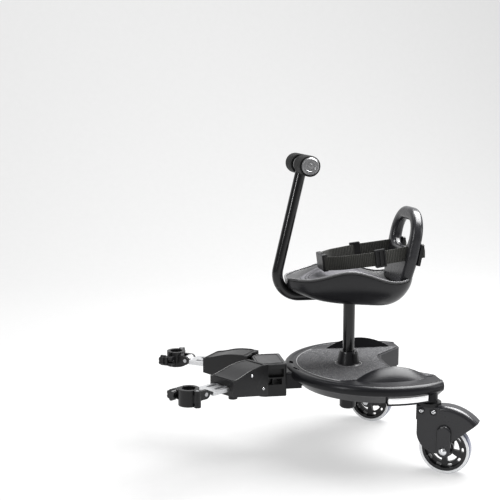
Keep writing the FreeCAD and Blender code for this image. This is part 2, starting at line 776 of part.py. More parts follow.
def handle_pipe(radius):
    start = Vector(0, run_start, run_z)
    arc_start = Vector(0, corner_y + bend_reach, run_z)
    arc_middle = bend_centre + Vector(0, math.cos(bend_middle), math.sin(bend_middle)) * handle_bend_r
    top = Vector(0, grip_y, grip_height)
    path = Part.Wire([Part.LineSegment(start, arc_start).toShape(),
                      Part.Arc(arc_start, arc_middle, bend_end).toShape(),
                      Part.LineSegment(bend_end, top).toShape()])
    ring = Part.Wire(Part.makeCircle(radius, start, Y_AXIS))
    return path.makePipeShell([ring], True, False)


tee_half = handle_r + 1.5
grip_end = tee_half + slide_gap + grip_length


def make_handle():
    along = Vector(-grip_end, grip_y, grip_height)
    pipe = handle_pipe(handle_r).cut(handle_pipe(handle_r - handle_wall))
    tee = cylinder(grip_r - 2.5, 2 * tee_half, Vector(-tee_half, grip_y, grip_height), X_AXIS)
    return fuse(pipe, tee, cylinder(grip_bar_r, 2 * grip_end, along, X_AXIS))


def make_grip():
    """Rubber sleeve with two ring grooves near its inner end."""
    inner = grip_bar_r + fit_gap
    start = tee_half + slide_gap
    groove = 1.2
    profile = [(start, inner), (start, grip_r - 1.0), (start + 1.0, grip_r)]
    for at in (start + 5.0, start + 10.0):
        profile += [(at, grip_r), (at + groove / 2, grip_r - groove), (at + groove, grip_r)]
    profile += [(grip_end - 2.0, grip_r), (grip_end, grip_r - 1.5), (grip_end, inner)]
    return moved(revolve_x(profile), Vector(0, grip_y, grip_height))


def make_grip_cap():
    start = grip_end + fit_gap
    cap_r = 0.84 * grip_r
    profile = [(start, 0), (start, cap_r), (start + 0.5 * cap_thickness, cap_r),
               (start + cap_thickness, 0.86 * cap_r),
               (start + cap_thickness, 0.62 * cap_r), (start + 0.8 * cap_thickness, 0.55 * cap_r),
               (start + 0.8 * cap_thickness, 0)]
    return moved(revolve_x(profile), Vector(0, grip_y, grip_height))


# Post tube and the bracket inside the seat that grips post and handle.
post_foot = socket_floor + socket_wall + slide_gap
post_top = seat_z + 36.0
bracket_half = 20.0


def make_post():
    return tube(post_r, post_r - post_wall, post_top - post_foot, Vector(0, 0, post_foot))


def make_bracket():
    body = block(Vector(-bracket_half, -72, seat_z), Vector(bracket_half, 26, post_top + 4.0))
    body = body.common(hull(seat_wall + fit_gap, 40.0))
    body = body.cut(cylinder(post_r + fit_gap, 100.0, Vector(0, 0, post_top - 99.9)))
    return body.cut(cylinder(handle_r + fit_gap, 200.0, Vector(0, run_start - 199.9, run_z), Y_AXIS))


def make_seat_bolts():
    """Cross bolts through the bracket that pin the post and the handle."""
    bolt = fuse(cylinder(2.5, 2 * bracket_half + 4.0, Vector(-bracket_half - 2.0, 0, 0), X_AXIS),
                cylinder(4.5, 3.0, Vector(bracket_half + fit_gap, 0, 0), X_AXIS))
    return [moved(bolt, Vector(0, 0, post_top - 9.0)), moved(bolt, Vector(0, -48, run_z))]


def bolt_holes(radius):
    start = Vector(-60, 0, 0)
    return [cylinder(radius, 120.0, start + Vector(0, 0, post_top - 9.0), X_AXIS),
            cylinder(radius, 120.0, start + Vector(0, -48, run_z), X_AXIS)]


seat_top = seat_layer(seat_wall, 0)
seat_shell = hull(0, 2.0).cut(hull(seat_wall, 40.0)).cut(seat_layer(seat_wall + fit_gap, -40.0, 2.0))
seat_shell = seat_shell.cut(cylinder(post_r + slide_gap, 100.0, Vector(0, 0, seat_z - 20.0)))
seat_shell = seat_shell.cut(handle_pipe(handle_r + slide_gap))
backrest = lean_back(make_backrest()).cut(seat_layer(60.0, -slide_gap))
bolt_clear = bolt_holes(2.5 + fit_gap)
save("seat_top", seat_top)
save("seat_shell", seat_shell)
save("seat_pad", make_pad())
save("seat_post", cut_each(make_post(), bolt_clear[:1]))
save("seat_bracket", cut_each(make_bracket(), bolt_clear))
save("seat_bolts", group(*make_seat_bolts()))
save("handle_tube", cut_each(make_handle(), bolt_clear[1:]))
grip = make_grip()
save("grip_left", grip)
save("grip_right", mirrored(grip))
cap = make_grip_cap()
save("grip_caps", group(cap, mirrored(cap)))


# Belt: two straps of webbing from slides behind the backrest to a buckle in front. The straps
# are laid out flat, then tilted so that the front hangs lower than the back.
belt_z = seat_z + 97.5
belt_tilt = 7.4
buckle_y = -59.0
strap_x = 57.0
strap_route = [(strap_x, 142, 0), (strap_x, backrest_y, 60), (strap_x + 6, 34, 60), (50, buckle_y + 29, 40),
               (30, buckle_y, 14), (15, buckle_y, 0)]


def tilted(shape):
    return moved(turned(shape, belt_tilt, axis=X_AXIS), Vector(0, 0, belt_z))


def route_wire(route):
    """Open path through (x, y, radius) corners, the inner ones rounded."""
    points = [Vector(x, y, 0) for x, y, radius in route]
    edges = []
    start = points[0]
    for i in range(1, len(route) - 1):
        back = points[i - 1].sub(points[i]).normalize()
        ahead = points[i + 1].sub(points[i]).normalize()
        half = back.getAngle(ahead) / 2
        reach = route[i][2] / math.tan(half)
        crown = points[i] + (back + ahead).normalize() * (route[i][2] / math.sin(half) - route[i][2])
        edges.append(Part.LineSegment(start, points[i] + back * reach).toShape())
        start = points[i] + ahead * reach
        edges.append(Part.Arc(points[i] + back * reach, crown, start).toShape())
    edges.append(Part.LineSegment(start, points[-1]).toShape())
    return Part.Wire(edges)


def strap(thickness, width):
    """Band of webbing on edge along the left route."""
    outline = route_wire(strap_route).makeOffset2D(thickness / 2, 0, False, False)
    band = Part.Face(outline).extrude(Vector(0, 0, width))
    return moved(band, Vector(0, 0, -width / 2))


def slide_frame(y):
    """Three-bar slide on the left strap's straight run beside the seat."""
    slope = 6.0 / (backrest_y - 34.0)
    x = strap_x + slope * (backrest_y - y)
    frame = block(Vector(-3.5, -11, -18), Vector(3.5, 11, 18))
    frame = fillet_where(frame, 1.5, lambda edge: edge.BoundBox.XLength > 6.9)
    windows = [block(Vector(1.5, -8, -14.5), Vector(9, -1.5, 14.5)),
               block(Vector(1.5, 1.5, -14.5), Vector(9, 8, 14.5))]
    return moved(turned(cut_each(frame, windows), math.degrees(math.atan(slope))), Vector(x, y, 0))


def make_belt_stop():
    """Slide that holds the strap's end behind the left leg of the backrest."""
    low = Vector(strap_x - 13, backrest_thickness / 2 + fit_gap, 48)
    plate = block(low, low + Vector(26, 6, 44))
    plate = fillet_where(plate, 2.0, lambda edge: edge.BoundBox.YLength > 5.9)
    return lean_back(plate)


strap_room = strap(webbing_thickness + 2 * soft_gap, webbing_width + 2 * soft_gap)


def buckle_body(start, stop):
    body = block(Vector(start, buckle_y - 5.5, -17), Vector(stop, buckle_y + 5.5, 17))
    return fillet_where(body, 2.5, lambda edge: edge.BoundBox.XLength > stop - start - 0.1)


def make_buckle_female():
    mouth = block(Vector(-5, buckle_y - 3, -11), Vector(12, buckle_y + 3, 11))
    windows = [block(Vector(2, buckle_y - 3, side * 20 - 10), Vector(10, buckle_y + 3, side * 20 + 10))
               for side in (-1, 1)]
    return cut_each(buckle_body(-3.85, 26), [mouth] + windows + [strap_room])


def make_buckle_male():
    prongs = [block(Vector(-6, buckle_y - 2.6, side * 7 - 3.5), Vector(10, buckle_y + 2.6, side * 7 + 3.5))
              for side in (-1, 1)]
    return fuse(buckle_body(-26, -4.15), *prongs).cut(mirrored(strap_room))


strap_slots = tilted(group(strap_room, mirrored(strap_room)))
save("backrest", backrest.cut(strap_slots))
left_strap = strap(webbing_thickness, webbing_width)
save("belt_left", tilted(left_strap))
save("belt_right", tilted(mirrored(left_strap)))
save("buckle_female", tilted(make_buckle_female()))
save("buckle_male", tilted(make_buckle_male()))
stop_plate = make_belt_stop().cut(tilted(strap_room))
near_slide = tilted(slide_frame(46).cut(strap_room))
far_slide = tilted(mirrored(slide_frame(29).cut(strap_room)))
save("belt_slides", group(stop_plate, mirrored(stop_plate), near_slide, far_slide))


# Connector box: bolted by its tail into the deck's front, with a slot on three sides where the
# arms' lugs turn on two upright pins.
box_front = box_back - box_length
pivot_y = box_front + arm_pivot_back
box_half = arm_pivot_x + box_corner_r
box_low = deck_z - box_drop
box_high = mat_z + box_rise - cover_thickness - fit_gap
slot_low = deck_z + 13.0
slot_high = slot_low + lug_thickness + 2 * slide_gap
lug_low = slot_low + slide_gap
pin_low = box_low + 4.0
pin_high = box_high - 3.0


def box_plan(inset, low, high):
    half = box_half - inset
    front = box_front + inset
    corners = [(-half, box_back, 4), (-half, front, box_corner_r), (half, front, box_corner_r),
               (half, box_back, 4)]
    return Part.Face(rounded_wire(corners, low)).extrude(Vector(0, 0, high - low))


def make_box():
    body = box_plan(0, box_low, box_high)
    body = fillet_where(body, 2.0, lambda edge: edge.BoundBox.ZMax < box_low + 0.01)
    tail = block(Vector(-tail_half, box_back - 6.0, tail_low), Vector(tail_half, tail_back, tail_high))
    body = fuse(body, tail)
    slot = block(Vector(-80, box_front - 5.0, slot_low), Vector(80, box_back - 10.0, slot_high))
    windows = [block(Vector(side * box_half - 12, box_back - 38, deck_z + 28),
                     Vector(side * box_half + 12, box_back - 6, deck_z + 46))
               for side in (-1, 1)]
    windows = [fillet_where(window, 3.0, lambda edge: edge.BoundBox.XLength > 20) for window in windows]
    holes = [cylinder(pin_r + fit_gap, pin_high - pin_low + 2 * fit_gap,
                      Vector(side * arm_pivot_x, pivot_y, pin_low - fit_gap)) for side in (-1, 1)]
    holes += [cylinder(bolt_r + fit_gap, 60.0, Vector(side * bolt_x, bolt_y, deck_z)) for side in (-1, 1)]
    return cut_each(body, [slot] + windows + holes)


def make_cover():
    cover = box_plan(1.0, box_high + fit_gap, box_high + fit_gap + cover_thickness)
    return fillet_where(cover, 1.2, lambda edge: edge.BoundBox.ZMin > box_high + cover_thickness)


def make_connector_bolts():
    """Bolts down through the deck's front edge into the tail, their heads under the mat's level."""
    top = mat_floor - fit_gap
    bolt = fuse(cylinder(bolt_r, top - tail_low + 4.0, Vector(0, 0, tail_low - 4.0)),
                cylinder(2 * bolt_r, 3.0, Vector(0, 0, tail_low - 3.0 - fit_gap)))
    return group(*[moved(bolt, Vector(side * bolt_x, bolt_y, 0)) for side in (-1, 1)])


def make_pivot_pins():
    pin = cylinder(pin_r, pin_high - pin_low, Vector(arm_pivot_x, pivot_y, pin_low))
    return group(pin, mirrored(pin))


# Arm: built straight ahead of its pivot at the origin, forward is -Y. A hollow housing with a
# swept top, a floor on which the bar slides, and a boss for the spring plunger below it.
arm_root = 21.0
root_clear = box_corner_r + 3.4
arm_top = mat_z + 21.0
arm_fall = 14.0
arm_foot = deck_z - 5.0
floor_high = deck_z + 25.0 - slide_gap
floor_low = floor_high - arm_wall
bar_low = floor_high + slide_gap
bar_high = bar_low + bar_thickness
bar_tail = 62.0
plunger_s = 92.0
boss_foot = floor_low - 12.0


def arm_plan(inset, start, stop):
    """Plan of the housing, wider towards its tip, as a tall prism."""
    root = arm_root_width / 2 - inset
    tip = arm_tip_width / 2 - inset
    low = deck_z - 40.0
    points = [Vector(-root, -start, low), Vector(root, -start, low), Vector(tip, -stop, low),
              Vector(-tip, -stop, low)]
    return prism(points, Vector(0, 0, 120))


def arm_side(drop, foot):
    """Side view of the housing with its swept top, across its whole width."""
    sweep = [(arm_root - 4, 0), (0.4 * arm_length, 0.03), (0.62 * arm_length, 0.28),
             (0.82 * arm_length, 0.76),
             (arm_length, 1.0)]
    points = [Vector(-60, -s, arm_top - arm_fall * share - drop) for s, share in sweep]
    top = Part.BSplineCurve()
    top.interpolate(points)
    tip_foot = Vector(-60, -arm_length, foot + 20.0)
    root_foot = Vector(-60, -arm_root + 4, foot)
    face = Part.Face(Part.Wire([top.toShape(), Part.LineSegment(points[-1], tip_foot).toShape(),
                                Part.LineSegment(tip_foot, root_foot).toShape(),
                                Part.LineSegment(root_foot, points[0]).toShape()]))
    return face.extrude(Vector(120, 0, 0))


def make_arm_housing():
    outer = arm_plan(0, arm_root, arm_length).common(arm_side(0, arm_foot))
    hollow = arm_plan(arm_wall, arm_root - 3, arm_length - arm_wall).common(arm_side(arm_wall,
                                                                                     arm_foot - 40.0))
    shell = outer.cut(hollow)
    inside = arm_plan(arm_wall - 1.0, arm_root, arm_length - 1.0).common(arm_side(arm_wall - 1.0,
                                                                                  arm_foot - 40.0))
    rails = [block(Vector(x - 1.5, -arm_length, bar_high + slide_gap), Vector(x + 1.5, -bar_tail, arm_top))
             for x in (-16, 16)]
    floor = block(Vector(-60, -arm_length, floor_low), Vector(60, -0.37 * arm_length, floor_high))
    neck = block(Vector(-lug_r + 2, -0.45 * arm_length, lug_low), Vector(lug_r - 2, 0, floor_high))
    boss = cylinder(8.0, floor_low - boss_foot + 1.0, Vector(0, -plunger_s, boss_foot))
    extra = rails[0].multiFuse([rails[1], floor, boss]).common(inside)
    shell = shell.cut(cylinder(root_clear, 200.0, Vector(0, 0, deck_z - 60.0)))
    lug = cylinder(lug_r, lug_thickness, Vector(0, 0, lug_low))
    shell = fuse(shell, extra, neck, lug)
    mouth = block(Vector(-bar_width / 2 - slide_gap, -arm_length - 5, bar_low - slide_gap),
                  Vector(bar_width / 2 + slide_gap, -arm_length + 10, bar_high + slide_gap))
    return cut_each(shell, [mouth, cylinder(pin_r + shaft_gap, 60.0, Vector(0, 0, lug_low - 5.0)),
                            cylinder(plunger_r + shaft_gap, floor_low - boss_foot - 4.0,
                                     Vector(0, -plunger_s, boss_foot)),
                            cylinder(0.6 * plunger_r + slide_gap, 40.0, Vector(0, -plunger_s, boss_foot))])


def make_plunger():
    """Pull knob, shank and locating tip, drawn back just clear of the bar."""
    shank = floor_low - boss_foot - 4.0 - plunger_travel
    return moved(fuse(cylinder(plunger_r, shank + slide_gap, Vector(0, 0, boss_foot - slide_gap)),
                      cylinder(0.6 * plunger_r, floor_high - boss_foot, Vector(0, 0, boss_foot)),
                      cylinder(9.0, 9.0, Vector(0, 0, boss_foot - slide_gap - 9.0))), Vector(0, -plunger_s,
                                                                                             0))


# Bar: a flat slide with a row of locating holes and an eye at its front end for the clamp.
eye_s = bar_tail + bar_length
eye_r = 9.0
eye_z = bar_low + bar_thickness / 2
clamp_s = eye_s + eye_r + clamp_bore_r + clamp_wall + 1.5
clamp_low = eye_z - clamp_height / 2
ear_in = 10.0
ear_thickness = 6.0
pitch_pin_r = 4.0


def make_bar():
    plate = block(Vector(-bar_width / 2, -eye_s + 12, bar_low), Vector(bar_width / 2, -bar_tail, bar_high))
    plate = fillet_where(plate, 4.0, lambda edge: edge.BoundBox.ZLength > bar_thickness - 0.1)
    neck = block(Vector(-ear_in, -eye_s, bar_low), Vector(ear_in, -eye_s + 14, bar_high))
    eye = cylinder(eye_r, 2 * ear_in, Vector(-ear_in, -eye_s, eye_z), X_AXIS)
    holes = [cylinder(0.6 * plunger_r + 0.6, 40.0, Vector(0, -plunger_s + 15.0 * i, bar_low - 10))
             for i in range(-1, 2)]
    slots = [block(Vector(x - 4, -eye_s + 26, bar_low - 5), Vector(x + 4, -plunger_s - 26, bar_high + 5))
             for x in (-11, 11)]
    pin = cylinder(pitch_pin_r + shaft_gap, 60.0, Vector(-30, -eye_s, eye_z), X_AXIS)
    return cut_each(fuse(plate, neck, eye), holes + slots + [pin])


# Clamp: a saddle that pitches on the bar's eye, a jaw hinged on its outer side and a knob whose
# captive screw pulls the jaw shut round the frame tube.
hinge_x = clamp_bore_r + clamp_wall + 5.0
knuckle_r = 6.5
screw_x = -hinge_x - 5.0
clamp_high = clamp_low + clamp_height
knuckle = 0.24 * clamp_height


def clamp_ring(front):
    """Half of the clamp's ring, with its share of the closing ear."""
    outer = clamp_bore_r + clamp_wall
    ring = tube(outer, clamp_bore_r, clamp_height, Vector(0, -clamp_s, clamp_low))
    ear = block(Vector(screw_x - 7, -clamp_s - 9, clamp_low + 7),
                Vector(-clamp_bore_r - 2, -clamp_s + 9, clamp_high - 7))
    whole = fuse(ring, ear.cut(cylinder(clamp_bore_r + 2, 200.0, Vector(0, -clamp_s, clamp_low - 50))))
    split = clamp_split / 2
    if front:
        keep = block(Vector(-80, -clamp_s - 60, clamp_low - 5), Vector(80, -clamp_s - split, clamp_high + 5))
    else:
        keep = block(Vector(-80, -clamp_s + split, clamp_low - 5), Vector(80, -clamp_s + 60, clamp_high + 5))
    return whole.common(keep)


def hinge_arm(low, high, toward):
    """Knuckle on the hinge pin with a web back to the ring."""
    reach = clamp_bore_r + 4.0
    web = block(Vector(reach, -clamp_s + min(0, toward), low),
                Vector(hinge_x, -clamp_s + max(0, toward), high))
    arm = fuse(cylinder(knuckle_r, high - low, Vector(hinge_x, -clamp_s, low)), web)
    return arm.cut(cylinder(clamp_bore_r + 2.0, 200.0, Vector(0, -clamp_s, low - 50)))


def make_saddle():
    parts = [clamp_ring(False), hinge_arm(clamp_low, clamp_low + knuckle, 6.5),
             hinge_arm(clamp_high - knuckle, clamp_high, 6.5)]
    for side in (-1, 1):
        inner = side * (ear_in + slide_gap)
        outer = inner + side * ear_thickness
        ear = fuse(cylinder(eye_r, ear_thickness, Vector(min(inner, outer), -eye_s, eye_z), X_AXIS),
                   block(Vector(min(inner, outer), -clamp_s + 13, eye_z - eye_r),
                         Vector(max(inner, outer), -eye_s, eye_z + eye_r)))
        parts.append(ear.cut(cylinder(clamp_bore_r + 2.0, 200.0, Vector(0, -clamp_s, clamp_low - 50))))
    saddle = fuse(*parts)
    slot = block(Vector(screw_x - 20, -clamp_s, eye_z - screw_r - slide_gap),
                 Vector(screw_x + screw_r + 1.5, -clamp_s + 20, eye_z + screw_r + slide_gap))
    swing = cylinder(knuckle_r + 0.6, clamp_height - 2 * knuckle,
                     Vector(hinge_x, -clamp_s, clamp_low + knuckle))
    return cut_each(saddle, [slot, swing, cylinder(jaw_pin_r + fit_gap, 60.0,
                                                   Vector(hinge_x, -clamp_s, clamp_low - 5)),
                             cylinder(pitch_pin_r + fit_gap, 60.0, Vector(-30, -eye_s, eye_z), X_AXIS)])


def make_jaw():
    middle = hinge_arm(clamp_low + knuckle + slide_gap, clamp_high - knuckle - slide_gap, -6.5)
    ring = clamp_ring(True)
    for low in (clamp_low - 1, clamp_high - knuckle - slide_gap):
        ring = ring.cut(cylinder(knuckle_r + 0.6, knuckle + 1 + slide_gap, Vector(hinge_x, -clamp_s, low)))
    jaw = fuse(ring, middle)
    return cut_each(jaw, [cylinder(jaw_pin_r + shaft_gap, 60.0, Vector(hinge_x, -clamp_s, clamp_low - 5)),
                          cylinder(screw_r + shaft_gap, 40.0, Vector(screw_x, -clamp_s - 30, eye_z), Y_AXIS)])


def make_clamp_pins():
    ends = ear_in + slide_gap + ear_thickness
    return group(cylinder(jaw_pin_r, clamp_height, Vector(hinge_x, -clamp_s, clamp_low)),
                 cylinder(pitch_pin_r, 2 * ends, Vector(-ends, -eye_s, eye_z), X_AXIS))


def make_knob():
    """Lobed knob with its screw, in front of the jaw's ear, and a collar that keeps it there."""
    face = -clamp_s - 9 - slide_gap
    knob = cylinder(knob_r, knob_thickness, Vector(0, face - knob_thickness, 0), Y_AXIS)
    lobes = [turned(cylinder(4.0, knob_thickness, Vector(knob_r + 2.0, face - knob_thickness, 0), Y_AXIS),
                    60.0 * i, axis=Y_AXIS) for i in range(6)]
    knob = cut_each(knob, lobes)
    screw = cylinder(screw_r, 9.0 + slide_gap + 12.0, Vector(0, face, 0), Y_AXIS)
    return moved(fuse(knob, screw), Vector(screw_x, 0, eye_z))


save("connector_box", make_box())
save("connector_cover", make_cover())
save("connector_bolts", make_connector_bolts())
save("arm_pivot_pins", make_pivot_pins())
arm_pieces = {"arm_housing": make_arm_housing(), "arm_bar": make_bar(), "bar_plunger": make_plunger(),
              "clamp_saddle": make_saddle(), "clamp_jaw": make_jaw(), "clamp_pins": make_clamp_pins(),
              "clamp_knob": make_knob()}
for node, shape in arm_pieces.items():
    placed = moved(turned(shape, arm_splay), Vector(arm_pivot_x, pivot_y, 0))
    save(node + "_left", placed)
    save(node + "_right", mirrored(placed))
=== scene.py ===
import math

import bmesh
import bpy
import numpy as np
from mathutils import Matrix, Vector
from mathutils.bvhtree import BVHTree


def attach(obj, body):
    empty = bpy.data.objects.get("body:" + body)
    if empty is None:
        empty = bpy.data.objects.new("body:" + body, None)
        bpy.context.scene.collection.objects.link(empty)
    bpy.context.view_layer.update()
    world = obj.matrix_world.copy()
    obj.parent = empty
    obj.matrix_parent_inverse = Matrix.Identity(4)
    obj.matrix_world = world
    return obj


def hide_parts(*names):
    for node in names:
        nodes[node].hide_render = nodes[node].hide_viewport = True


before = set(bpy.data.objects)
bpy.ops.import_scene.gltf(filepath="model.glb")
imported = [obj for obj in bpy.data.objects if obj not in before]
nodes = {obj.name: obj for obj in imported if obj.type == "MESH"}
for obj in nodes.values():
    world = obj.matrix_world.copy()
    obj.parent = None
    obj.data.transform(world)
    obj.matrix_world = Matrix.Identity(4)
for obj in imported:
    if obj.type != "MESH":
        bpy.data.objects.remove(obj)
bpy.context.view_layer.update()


# Caster wheels. Each is a gloss black spoked hub moulded in nylon, with a clear polyurethane
# tyre cast round it and a ball bearing pressed in from each side.
class Field:
    """A value on its way to a shader socket. Arithmetic on it adds Math nodes to its finish."""

    def __init__(self, finish, socket):
        self.finish = finish
        self.socket = socket

    def _math(self, operation, first, second):
        return self.finish.node("ShaderNodeMath", {"operation": operation}, {0: first, 1: second})

    def __add__(self, other):
        return self._math("ADD", self, other)

    def __radd__(self, other):
        return self._math("ADD", other, self)

    def __sub__(self, other):
        return self._math("SUBTRACT", self, other)

    def __mul__(self, other):
        return self._math("MULTIPLY", self, other)


class Finish:
    """One material: a Principled shader, with even values set on it and varying ones fed to it."""

    def __init__(self, name, **even):
        self.material = bpy.data.materials.new(name)
        self.material.use_nodes = True
        self.tree = self.material.node_tree
        self.shader = self.tree.nodes["Principled BSDF"]
        for socket, value in even.items():
            self.shader.inputs[socket.replace("_", " ")].default_value = value

    def node(self, kind, settings=None, sockets=None, out=0):
        """Add a node: its settings first, then its sockets' values or links."""
        made = self.tree.nodes.new(kind)
        for key, value in (settings or {}).items():
            setattr(made, key, value)
        for key, value in (sockets or {}).items():
            if isinstance(value, Field):
                self.tree.links.new(value.socket, made.inputs[key])
            else:
                made.inputs[key].default_value = value
        return Field(self, made.outputs[out])

    def where(self):
        return self.node("ShaderNodeTexCoord", out="Object")

    def place(self, spin=(0, 0, 0), shift=(0, 0, 0), stretch=(1, 1, 1)):
        """Object coordinates, stretched, turned and moved by a Mapping node."""
        return self.node("ShaderNodeMapping", None,
                         {"Vector": self.where(), "Location": shift, "Rotation": spin, "Scale": stretch})

    def axis_of(self, vector, axis):
        return self.node("ShaderNodeSeparateXYZ", None, {0: vector}, out=axis)

    def distance(self, point, axes):
        """Distance from a point, measured over the axes that are 1."""
        offset = self.place(shift=[-value for value in point], stretch=axes)
        return self.node("ShaderNodeVectorMath", {"operation": "LENGTH"}, {0: offset}, out="Value")

    def noise(self, scale, detail=3.0, where=None):
        return self.node("ShaderNodeTexNoise", None,
                         {"Vector": where or self.where(), "Scale": scale, "Detail": detail})

    def cells(self, feature, scale):
        return self.node("ShaderNodeTexVoronoi", {"feature": feature}, {"Vector": self.where(), "Scale": scale})

    def ramp(self, value, start, stop):
        """0 up to the start, 1 from the stop on, and even between the two."""
        return self.node("ShaderNodeMapRange", {"clamp": True},
                         {"Value": value, "From Min": start, "From Max": stop})

    def function(self, operation, *values):
        return self.node("ShaderNodeMath", {"operation": operation}, dict(enumerate(values)))

    def tint(self, amount, low, high):
        """Colour between two colours, each a fixed one or a field, by an amount from 0 to 1."""
        low, high = (end if isinstance(end, Field) else (*end, 1.0) for end in (low, high))
        return self.node("ShaderNodeMix", {"data_type": "RGBA"}, {0: amount, 6: low, 7: high}, out=2)

    def feed(self, socket, field):
        self.tree.links.new(field.socket, self.shader.inputs[socket])

    def dent(self, height, depth, strength):
        """Relief from a height field, this many metres deep."""
        relief = self.node("ShaderNodeBump", None, {"Height": height, "Distance": depth, "Strength": strength})
        self.feed("Normal", relief)

    def wear(self, *names):
        """Give this finish to CAD nodes, which keep their own shape."""
        for name in names:
            nodes[name].data.materials.clear()
            nodes[name].data.materials.append(self.material)


hub_black = Finish("hub_black", Coat_Weight=0.3, Coat_Roughness=0.12)
flow = hub_black.noise(22.0, 4.0)
hub_black.feed("Base Color", hub_black.tint(flow, (0.008, 0.008, 0.009), (0.024, 0.024, 0.027)))
hub_black.feed("Roughness", 0.22 + flow * 0.16)
hub_black.dent(hub_black.noise(420.0), 0.0003, 0.25)
hub_black.wear("wheel_hub_left", "wheel_hub_right")

bearing_steel = Finish("bearing_steel", Metallic=1.0)
haze = bearing_steel.noise(160.0, 2.0)
bearing_steel.feed("Base Color", bearing_steel.tint(haze, (0.42, 0.43, 0.45), (0.68, 0.69, 0.71)))
bearing_steel.feed("Roughness", 0.2 + haze * 0.2)
bearing_steel.wear("wheel_bearings_left", "wheel_bearings_right", "caster_stem_left", "caster_stem_right")

# The tyre is milky on its faces, with a blue cast where light goes through the tread. Each axle
# is given by its place in plan and its caster's turn in degrees, and the edges of tread and face by
# the square of their distance from the wheel's middle plane.
axle_places = {"left": (0.1615, 0.2395, 33.0), "right": (-0.1644, 0.1846, 219.0)}
wheel_r = 0.05
tread_edge = 0.00009
face_edge = 0.00013
for side, (x, y, yaw) in axle_places.items():
    clear_tyre = Finish("clear_tyre_" + side, Coat_Weight=0.6, Coat_Roughness=0.05, IOR=1.5)
    turn = math.radians(yaw)
    centre = (-x * math.cos(turn) + y * math.sin(turn), -x * math.sin(turn) - y * math.cos(turn), -wheel_r)
    across = clear_tyre.axis_of(clear_tyre.place(spin=(0, 0, turn), shift=centre), "X")
    milky = clear_tyre.ramp(across * across, tread_edge, face_edge)
    clear_tyre.feed("Base Color", clear_tyre.tint(milky, (0.07, 0.085, 0.16), (0.86, 0.87, 0.88)))
    clear_tyre.feed("Roughness", 0.08 + clear_tyre.noise(60.0, 2.0) * 0.14)
    clear_tyre.wear("wheel_tyre_" + side)


# Caster hoods. A charcoal moulding in two cheeks and a fender, on a black swivel block with
# hollow rivets through both, a dome-headed axle bolt, and nylon bushes up in the deck.
def moulded(name, low, high, rough, grain=950.0, coat=0.3, relief=0.12, specular=0.5):
    """Moulded plastic: slow colour drift, a fine spark-eroded grain and uneven gloss."""
    finish = Finish(name, Coat_Weight=coat, Coat_Roughness=0.25, Specular_IOR_Level=specular)
    finish.feed("Base Color", finish.tint(finish.noise(9.0, 5.0), low, high))
    finish.feed("Roughness", (rough - 0.07) + finish.noise(70.0, 6.0) * 0.14)
    finish.dent(finish.noise(grain, 2.0), 0.0002, relief)
    return finish


charcoal_tints = (0.011, 0.011, 0.013), (0.02, 0.02, 0.023)
charcoal = moulded("charcoal_shell", *charcoal_tints, 0.34)
hood_charcoal = moulded("hood_charcoal", (0.022, 0.022, 0.025), (0.034, 0.034, 0.038), 0.3, coat=0.5)
hood_charcoal.wear("caster_hood_left", "caster_hood_right")
black_moulding = moulded("black_moulding", (0.006, 0.006, 0.007), (0.013, 0.013, 0.014), 0.44)
black_moulding.wear("caster_block_left", "caster_block_right", "caster_bushes")

bright_steel = Finish("bright_steel", Metallic=1.0)
scratch = bright_steel.noise(240.0, 5.0, bright_steel.place(stretch=(1, 1, 7)))
bright_steel.feed("Base Color", bright_steel.tint(scratch, (0.62, 0.63, 0.65), (0.9, 0.9, 0.91)))
bright_steel.feed("Roughness", 0.1 + scratch * 0.18)
bright_steel.wear("caster_rivets_left", "caster_rivets_right", "axle_bolt_left", "axle_bolt_right")


def grid_faces(rows, columns, wrap_rows, wrap_columns):
    """Quads between neighbours of a grid of points, joined round where it wraps."""
    row = np.arange(rows if wrap_rows else rows - 1)[:, None]
    column = np.arange(columns if wrap_columns else columns - 1)[None, :]
    next_row, next_column = (row + 1) % rows, (column + 1) % columns
    return np.stack([row * columns + column, row * columns + next_column,
                     next_row * columns + next_column, next_row * columns + column], -1).reshape(-1, 4)


def put_mesh(name, points, finish, uv=None, wrap_rows=False, wrap_columns=True):
    """Mesh object over a grid of points: UVs first, then poles merged and normals set."""
    mesh = bpy.data.meshes.new(name)
    faces = grid_faces(*points.shape[:2], wrap_rows, wrap_columns)
    mesh.from_pydata(points.reshape(-1, 3).tolist(), [], faces.tolist())
    if uv is not None:
        corner = np.empty(len(mesh.loops), np.int32)
        mesh.loops.foreach_get("vertex_index", corner)
        layer = mesh.uv_layers.new(name="UVMap")
        layer.data.foreach_set("uv", uv.reshape(-1, 2)[corner].astype(np.float32).ravel())
    shape = bmesh.new()
    shape.from_mesh(mesh)
    bmesh.ops.remove_doubles(shape, verts=shape.verts, dist=1e-6)
    bmesh.ops.recalc_face_normals(shape, faces=shape.faces)
    shape.to_mesh(mesh)
    shape.free()
    mesh.polygons.foreach_set("use_smooth", np.ones(len(mesh.polygons), bool))
    mesh.materials.append(finish.material)
    made = bpy.data.objects.new(name, mesh)
    bpy.context.scene.collection.objects.link(made)
    return made


def full_turn(steps):
    return np.linspace(0, 2 * np.pi, steps, endpoint=False)


def lathe(profile, place, axis, turns=32):
    """Rings of a (radius, height) profile turned about an axis through a place."""
    axis = Vector(axis).normalized()
    across = axis.orthogonal().normalized()
    angle = full_turn(turns)[:, None]
    ring = np.cos(angle) * np.array(across) + np.sin(angle) * np.array(axis.cross(across))
    profile = np.array(profile)
    return np.array(place) + profile[:, 0, None, None] * ring + profile[:, 1, None, None] * np.array(axis)


